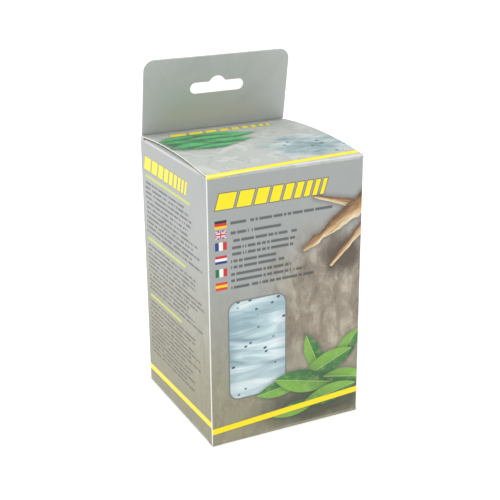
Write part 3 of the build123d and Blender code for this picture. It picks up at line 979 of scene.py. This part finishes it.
def closurePanel(close, front, rear, slitRear, reach, rows=44):
    # grid from the front fold to the tuck's fold, longer at both ends,
    # where a slit lock frees it from the tuck
    name, node, body = close["panel"]
    x = spread(-halfPanel, halfPanel, (-halfNeck, halfNeck))
    end = np.where(abs(x) < halfNeck, rear, slitRear)
    y = front + (end - front) * np.linspace(0, 1, rows)[:, None]
    slope = slopeOf(close["height"], y)
    normal = stacked(0.0, -slope, close["sign"]) / np.sqrt(1 + slope ** 2)[..., None]
    outer = stacked(x, y, outAt(close, close["height"](y)))
    piece = boardPiece(name, outer, normal, x + halfWide, outAt(close, reach + y - front), close["ink"])
    fitted(piece, body, node)


def tuckFlap(close, path, corner, reach):
    # narrow between the slit locks, then as wide as the carton lets it be, with round tips
    points, normals, along = path
    name, node, body = close["tuck"]
    neck = halfNeck - carton["foldGap"]
    x = np.linspace(-1, 1, 30)
    fold = fromSection(name + "Fold", points, normals, along + reach, x, neck, close, close["ink"])
    outAt(close, points[0, 1] - board)
    points[-1, 0] - board
    outAt(close, points[-1, 1])
    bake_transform(fold)
    first = np.hypot(*(points[-1] - corner))
    neckLong, long, tip = carton["slitDrop"] + bead, carton["tuckLong"] - bead, carton["tuckCorner"]
    d = np.concatenate([[first, neckLong - stepHalf, neckLong + stepHalf], np.linspace(0.003, long - tip, 5),
                        roundedEnd(long, tip, 0.1, 12)])
    half = np.where(d < neckLong, neck, halfWide - carton["tuckInset"] - cornerLoss(d, long, tip))
    section = points[-1] + (d - first)[:, None] * tuckWay
    side = normals[-1:].repeat(len(d), 0)
    x = np.linspace(-1, 1, 41)
    flap = fromSection(name, section, side, reach + along[-1] + d - first, x, half, close, plainPrint)
    fitted(flap, body, node)


def dustFlap(close, sign, side, ink, rows=36):
    # the fold rises from the wall's straight crease to the underside of the bowed panel,
    # and the flap follows it
    name, node, body = close["dust"]
    name, node, body = name + side.capitalize(), f"{node}_{side}", f"{body}_{side}"
    back = close["rear"] - carton["dustRearGap"]
    lower = sideDrop + carton["dustSink"]
    outside, fadeFront, fadeRear = carton["dustEase"]

    def follow(y):
        # share of the bow at the root, which fades at its front and rear
        ends = smooth((y - dustFront + outside) / fadeFront) * smooth((back + outside - y) / fadeRear)
        return carton["dustFollow"] * ends

    def blankU(y):
        # each side's flap lies on the blank over its own wall, and the left one runs against y
        return -halfDeep - y if sign < 0 else wide + halfDeep + y

    points, normals, along = foldPath((-halfWide, -lower), (0, 1), (1, 0))
    y = spread(dustFront, back)
    share = smooth((along - along[0]) / (along[5] - along[0]))[:, None]
    h = points[:, 1:] + close["height"](y) * follow(y) * share
    normal = stacked(-sign * normals[:, :1], 0.0, close["sign"] * normals[:, 1:])
    outer = stacked(-sign * points[:, :1], y, outAt(close, h))
    fold = boardPiece(name + "Fold", outer, normal, blankU(y), outAt(close, h), ink)
    outAt(close, points[0, 1] + carton["blendInset"])
    sign * -points[-1, 0]
    outAt(close, points[-1, 1] - board)
    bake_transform(fold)
    # flap with a tapered front, a lock shoulder at the rear and rounded tips
    nose, tip, shoulder = carton["dustLong"] + bead, carton["dustCorner"], carton["dustShoulder"]
    root = halfWide + points[-1, 0]
    d = np.concatenate([spread(root, nose - tip, (shoulder, shoulder + carton["dustNotch"])),
                        roundedEnd(nose, tip, 0.05, 14)])
    rounding = cornerLoss(d, nose, tip)
    front = dustFront + d * np.tan(np.radians(carton["dustTaper"])) + rounding * 0.9
    notch = carton["dustNotch"] * np.clip((d - shoulder) / carton["dustNotch"], 0, 1)
    y = front + (back - notch - rounding - front) * np.linspace(0, 1, rows)[:, None]
    near, settle = follow(y), smooth((d - root) / carton["dustSettle"])
    h = -lower + close["height"](y) * (near + (1 - near) * settle)
    outer = stacked(sign * (halfWide - d), y, outAt(close, h))
    flap = boardPiece(name, outer, (0.0, 0, close["sign"]), blankU(y), outAt(close, d - sideDrop), ink)
    fitted(flap, body, node)


closure(closures["lid"])
closure(closures["bottom"])
print("closures made")


# Hang tab

hangTab = {
    "lean": 10.0,             # degrees, forward over the lid
    "tall": 0.0423,
    "corner": 0.0060,
    "slotUp": 0.0243,
    "slotWide": 0.0320,
    "slotHigh": 0.0062,
    "bumpRadius": 0.0050,
    "bumpUp": 0.0011,
    "bumpEase": 0.0003,       # the bump's foot runs out into the slot's edge over four of these
    "warp": 0.00018,
    "rearFoot": 0.0010,       # each leaf starts this far above the fold
    "frontFoot": 0.0006,
}

tabLean = np.radians(hangTab["lean"])
# across, up and forward
tabAxes = np.array([[1, 0, 0], [0, -np.sin(tabLean), np.cos(tabLean)],
                    [0, -np.cos(tabLean), -np.sin(tabLean)]])
tabTop = hangTab["tall"] - board


def slotLoop():
    # euro slot: a long slot with a round bump at its top, anticlockwise from its right end
    r, ease = hangTab["slotHigh"] / 2, hangTab["bumpEase"]
    bump, up = hangTab["bumpRadius"], hangTab["bumpUp"]
    middle = hangTab["slotWide"] / 2 - r
    turn = np.radians(np.linspace(-90, 90, 16))
    foot = np.arcsin((r + 2 * ease - up) / bump)
    arch = np.linspace(foot, np.pi - foot, 18)
    reach = bump * np.cos(foot)
    end = np.stack([middle + r * np.cos(turn), r * np.sin(turn)], -1)
    right = np.concatenate([end, [[reach + 4 * ease, r], [reach + ease, r + 0.0002]]])
    top = np.stack([bump * np.cos(arch), up + bump * np.sin(arch)], -1)
    return np.concatenate([right, top, right[::-1] * [-1, 1], [[-0.004, -r], [0.004, -r]]])


def tabLoop(low, high):
    # the leaf's outline: square at the fold, rounded at the top, cut off where it folds over
    corner = hangTab["corner"]
    centreX, centreY = halfTab - corner, hangTab["tall"] - corner
    turn = np.linspace(0, np.arcsin(min(1.0, (high - centreY) / corner)), 12)
    arc = np.stack([centreX + corner * np.cos(turn), centreY + corner * np.sin(turn)], -1)
    right = np.concatenate([[[halfTab, low], [halfTab, 0.010], [halfTab, 0.020]], arc])
    top, foot = [[0.01, high], [0, high], [-0.01, high]], [[-0.02, low], [0, low], [0.02, low]]
    return np.concatenate([right, top, right[::-1] * [-1, 1], foot])


def angleOf(loop):
    # direction of each point from the origin
    return np.arctan2(loop[:, 1], loop[:, 0])


def byAngle(loop, angles):
    # a loop that is seen whole from the origin, sampled at given directions
    loop = loop[np.argsort(angleOf(loop))]
    own = angleOf(loop)
    own = np.concatenate([own - 2 * np.pi, own, own + 2 * np.pi])
    return np.stack([np.interp(angles, own, np.tile(axis, 3)) for axis in loop.T], -1)


def tabPoint(x, up, face):
    # across, up and forward along the leaning tab, with a slow twist and curl that grows from 0 at the fold
    rise = np.clip(up / hangTab["tall"], 0, 1) ** 2
    warp = hangTab["warp"] * rise * (0.6 * np.cos(2.2 * x / halfTab + 0.4) + 0.4 * x / halfTab - 0.2)
    return np.array([0, tabFold[1], tabFold[2]]) + stacked(x, up, face * board + warp) @ tabAxes


def tabLeaf(name, node, face, low):
    # rings of points between the slot's outline and the leaf's outline
    centre = np.array([0, hangTab["slotUp"]])
    outline = tabLoop(low, tabTop) - centre
    slot = slotLoop()
    angles = np.concatenate([angleOf(outline), angleOf(slot), np.linspace(-np.pi, np.pi, 97)[:-1]])
    angles = np.unique(np.round(angles, 5))
    inner, outer = byAngle(slot, angles), byAngle(outline, angles)
    ring = np.linspace(0, 1, 12)[:, None, None]
    place = inner + (outer - inner) * ring + centre
    x, up = place[..., 0], place[..., 1]
    outer = tabPoint(x, up, face)
    piece = boardPiece(name, outer, face * tabAxes[2], -deep - halfWide - x, tabFold[2] + up,
                       plainPrint, wrap=True, thickness=board * 0.98)
    fitted(piece, "hang_tab", node)


def tabTopFold():
    # half round fold between the two leaves, narrower where the rounded corners cut it
    angle = np.linspace(-np.pi / 2, np.pi / 2, 13)[:, None]
    up, corner = tabTop + board * np.cos(angle), hangTab["corner"]
    rise = np.clip(up - (hangTab["tall"] - corner), 0, corner)
    half = halfTab - corner + np.sqrt(np.clip(corner ** 2 - rise ** 2, 0, None)) - carton["edgeGap"]
    x = np.linspace(-1, 1, 60) * half
    normal = np.cos(angle)[..., None] * tabAxes[1] + np.sin(angle)[..., None] * tabAxes[2]
    piece = boardPiece("hangTabTopFold", tabPoint(x, up, np.sin(angle)), normal, -deep - halfWide - x,
                       tabFold[2] + up + board * (angle + 1.6), plainPrint, thickness=board * 0.9)
    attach(piece, "hang_tab")


def tabBaseFold():
    # crease between the rear wall and the tab's rear leaf
    points, normals, along = foldPath((halfDeep, tabFold[2]), (0, 1), tabAxes[1, 1:])
    x = np.linspace(-halfTab, halfTab, 44)
    y, z = points.T[..., None]
    normalY, normalZ = normals.T[..., None]
    outer, normal = stacked(x, y, z), stacked(0.0, normalY, normalZ)
    piece = boardPiece("hangTabBaseFold", outer, normal, -deep - halfWide - x, z, rearPrint)
    inset = carton["blendInset"]
    points[0, 1] + inset
    points[-1, 1] - inset
    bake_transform(piece)


tabLeaf("hangTabRearLeaf", "hang_tab_rear_ply", -1, hangTab["rearFoot"])
tabLeaf("hangTabFrontLeaf", "hang_tab_front_ply", 1, hangTab["frontFoot"])
tabTopFold()
tabBaseFold()
print("hang tab made")


# Feeder

feeder = {
    "wall": 0.0006,
    "taper": 0.0020,          # the base's radius is this much smaller than the mouth's
    "rimOut": 0.0010,
    "rimHigh": 0.0016,
    "footWide": 0.0025,
    "footRise": 0.0012,
    "ribCount": 6,
    "ribFirst": 0.0440,
    "ribPitch": 0.0110,
    "ribHigh": 0.0050,
    "ribCrown": 0.0015,
    "ribProud": 0.0008,
    "pressGap": 0.00015,
    "skin": 0.0007,
    "recess": 0.0025,
    "holeRadius": 0.0110,
    "lipHigh": 0.0012,
    "ease": 0.0004,
}


def formed(name, node, body, profile):
    # clear formed sheet, turned from a closed profile with eased corners
    piece = revolve(name, eased(np.array(profile), feeder["ease"]), plastic)
    fitted(piece, body, node)


def feederCan():
    # the wall's outline goes up the outside and down the inside, over the ribs both times
    low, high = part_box("feeder_can")
    foot, mouth, rim = low.z, high.z, high.x
    top = rim - feeder["rimOut"]
    base = top - feeder["taper"]
    root, crown, proud = feeder["ribHigh"] / 2, feeder["ribCrown"] / 2, feeder["ribProud"]

    def ribs(inset):
        # four points to a rib, foot, crown, crown and foot, on the tapered wall
        middles = feeder["ribFirst"] + feeder["ribPitch"] * np.arange(feeder["ribCount"])
        steps = [(middle + step, out) for middle in middles
                 for step, out in ((-root, 0), (-crown, proud), (crown, proud), (root, 0))]
        return [(base + feeder["taper"] * up / (mouth - foot) - inset + out, foot + up) for up, out in steps]

    wall, rise = feeder["wall"], foot + feeder["footRise"]
    ringIn, rimLow = base - feeder["footWide"], mouth - feeder["rimHigh"]
    profile = [(0, rise), (ringIn, rise), (ringIn, foot), (base, foot)] + ribs(0)
    profile += [(top, rimLow), (rim, rimLow), (rim, mouth), (top - wall, mouth)]
    profile += ribs(wall)[::-1] + [(base - wall, rise + wall), (0, rise + wall)]
    formed("feederCan", "feeder_can", "can", profile)


def feederLid():
    # skirt, flange, plug wall, plate and the lip round the exit hole, in one skin
    low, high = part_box("feeder_lid")
    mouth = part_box("feeder_can")[1].z
    skin, gap = feeder["skin"], feeder["pressGap"]
    skirtIn = high.x - skin
    plug = skirtIn - gap - feeder["rimOut"] - feeder["wall"] - gap
    plate, hole = mouth - feeder["recess"], feeder["holeRadius"]
    flange, lip = mouth + gap, plate + feeder["lipHigh"] + skin
    profile = [(hole, plate), (plug, plate), (plug, flange), (skirtIn, flange), (skirtIn, low.z),
               (high.x, low.z), (high.x, high.z), (plug - skin, high.z), (plug - skin, plate + skin),
               (hole + skin, plate + skin), (hole + skin, lip), (hole, lip)]
    formed("feederLid", "feeder_lid", "can_lid", profile)


wad = {
    "seed": 5,
    "crumple": 0.0011,
    "folds": 26,
    "foldSize": (0.0035, 0.0110),
    "warp": 0.0009,
    "warpTurn": 620,          # radians in a metre
    # share of the height and of the radius, up the plug and the tuft
    "outline": [(0, 0), (0.03, 0.48), (0.12, 0.74), (0.26, 0.79), (0.42, 0.79), (0.5, 0.86),
                (0.58, 0.90), (0.68, 0.86), (0.8, 0.70), (0.92, 0.42), (1.0, 0)],
}


def exitWad():
    # a round plug and tuft, creased by straight waves that cross it in random directions
    low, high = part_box("exit_wad")
    heights, radii = np.array(wad["outline"]).T
    t = np.linspace(0, 1, 120)[:, None] ** 0.9
    turn = np.linspace(0, 2 * np.pi, 200, endpoint=False)
    reach = np.interp(t, heights, radii * high.x)
    points = stacked(reach * np.cos(turn), reach * np.sin(turn), low.z + (high.z - low.z) * t)
    rng = np.random.default_rng(wad["seed"])
    warped = points + wad["warp"] * np.sin(points[..., [1, 2, 0]] * wad["warpTurn"] + rng.uniform(0, 6, 3))
    wave = 0
    for size in np.geomspace(*wad["foldSize"], wad["folds"]):
        way = rng.normal(size=3)
        crease = abs(np.sin(np.pi * warped @ way / np.linalg.norm(way) / size + rng.uniform(0, 3)))
        wave = wave + (0.5 - crease) * size / wad["foldSize"][1]
    # the neck in the hole stays smooth, and the waves push out from the tuft's middle
    free = smooth((t - 0.43) / 0.09) + 0.6 * smooth((0.27 - t) / 0.08)
    outward = stacked(np.cos(turn), np.sin(turn), (t - 0.62) * 3)
    outward /= np.linalg.norm(outward, axis=-1, keepdims=True)
    points = points + wad["crumple"] * (wave * free)[..., None] * outward
    flat = np.hypot(points[..., 0], points[..., 1])
    points[..., :2] *= np.minimum(1, 0.985 * high.x / np.maximum(flat, 1e-6))[..., None]
    points[..., 2] = np.clip(points[..., 2], low.z, high.z)
    points[[0, -1]] = points[[0, -1]].mean(1, keepdims=True)
    index = np.arange(t.size * turn.size).reshape(t.size, turn.size)
    ahead = np.roll(index, -1, 1)
    faces = np.stack([index[:-1], ahead[:-1], ahead[1:], index[1:]], -1).reshape(-1, 4)
    piece = mended(addMesh("exitWad", points, faces, [wadCloth], sharp=180), 180)
    fitted(piece, "can_lid", "exit_wad")


feederCan()
feederLid()
exitWad()
print("feeder made")


# Stage, light and camera

stage = {
    "floorWide": 6.0,
    "floorDrop": 0.0001,
    "floorGlow": 0.5,
    "world": 0.38,
    # place, aim, size and power
    "lights": {
        "key": ((-1.25, -0.4, 0.95), (0, 0, 0.08), 0.8, 11.0),
        "fill": ((0.9, -0.9, 0.6), (0, 0, 0.08), 0.9, 4.0),
        "top": ((0.4, 0.8, 2.2), (0.4, 0.8, 0), 4.0, 66.0),
    },
}

camera = {
    "azimuth": -26.3214, "elevation": 20.1167, "roll": -0.4719,    # degrees
    "distance": 0.577502, "lens": 75.984, "sensor": 36.0,
    "target": (0.0, 0.0, 0.080), "right": 0.0003851, "up": 0.0075796,
}


def putIn(name, data, axes, place):
    # the object's own axes are the rows, and it stands at the place
    thing = bpy.data.objects.new(name, data)
    thing.matrix_world = Matrix.Translation(place) @ Matrix(np.array(axes).T.tolist()).to_4x4()
    bpy.context.scene.collection.objects.link(thing)
    return thing


def makeFloor():
    # large square just under the carton, which glows a little
    corners = np.array([[-1, -1, 0], [1, -1, 0], [1, 1, 0], [-1, 1, 0]])
    p = Paint("paleFloor")
    grain = p.noise(p.objectPoint(), 3.0, 2)
    p.finish(Base_Color=p.mix(tone(204, 204, 204), tone(208, 208, 208), grain), Roughness=grain * 0.1 + 0.6,
             Emission_Color=(1.0, 1.0, 1.0), Emission_Strength=stage["floorGlow"])
    points = corners * stage["floorWide"] / 2 - [0, 0, stage["floorDrop"]]
    addMesh("floor", points, np.array([[0, 1, 2, 3]]), [p.material])


def areaLight(name, place, aim, size, power):
    # its back points away from the aim
    data = bpy.data.lights.new(name, "AREA")
    data.shape, data.size, data.energy = "SQUARE", size, power
    back = np.array(place, float) - np.array(aim, float)
    back /= np.linalg.norm(back)
    side = np.cross([0.001, 0, 1.0], back)
    side /= np.linalg.norm(side)
    putIn(name, data, [side, np.cross(back, side), back], place)


def makeWorld():
    # even white light from all sides
    world = bpy.data.worlds.new("studio")
    bpy.context.scene.world = world
    world.use_nodes = True
    background = world.node_tree.nodes["Background"]
    background.inputs["Color"].default_value = (1, 1, 1, 1)
    background.inputs["Strength"].default_value = stage["world"]
    bpy.context.scene.view_settings.view_transform = "Standard"


def makeCamera():
    # turned round the target by azimuth and elevation, shifted across the view, then rolled
    az, el, roll = (np.radians(camera[k]) for k in ("azimuth", "elevation", "roll"))
    back = np.array([np.sin(az) * np.cos(el), -np.cos(az) * np.cos(el), np.sin(el)])
    right = np.array([np.cos(az), np.sin(az), 0])
    up = np.cross(back, right)
    place = np.array(camera["target"]) + back * camera["distance"]
    place = place + right * camera["right"] + up * camera["up"]
    data = bpy.data.cameras.new("photoCamera")
    data.lens, data.sensor_width = camera["lens"], camera["sensor"]
    data.clip_start, data.clip_end = 0.01, 50
    rolled = [right * np.cos(roll) + up * np.sin(roll), up * np.cos(roll) - right * np.sin(roll), back]
    bpy.context.scene.camera = putIn("photoCamera", data, rolled, place.tolist())


makeFloor()
makeWorld()
for name, light in stage["lights"].items():
    areaLight(name, *light)
makeCamera()
print("stage made")
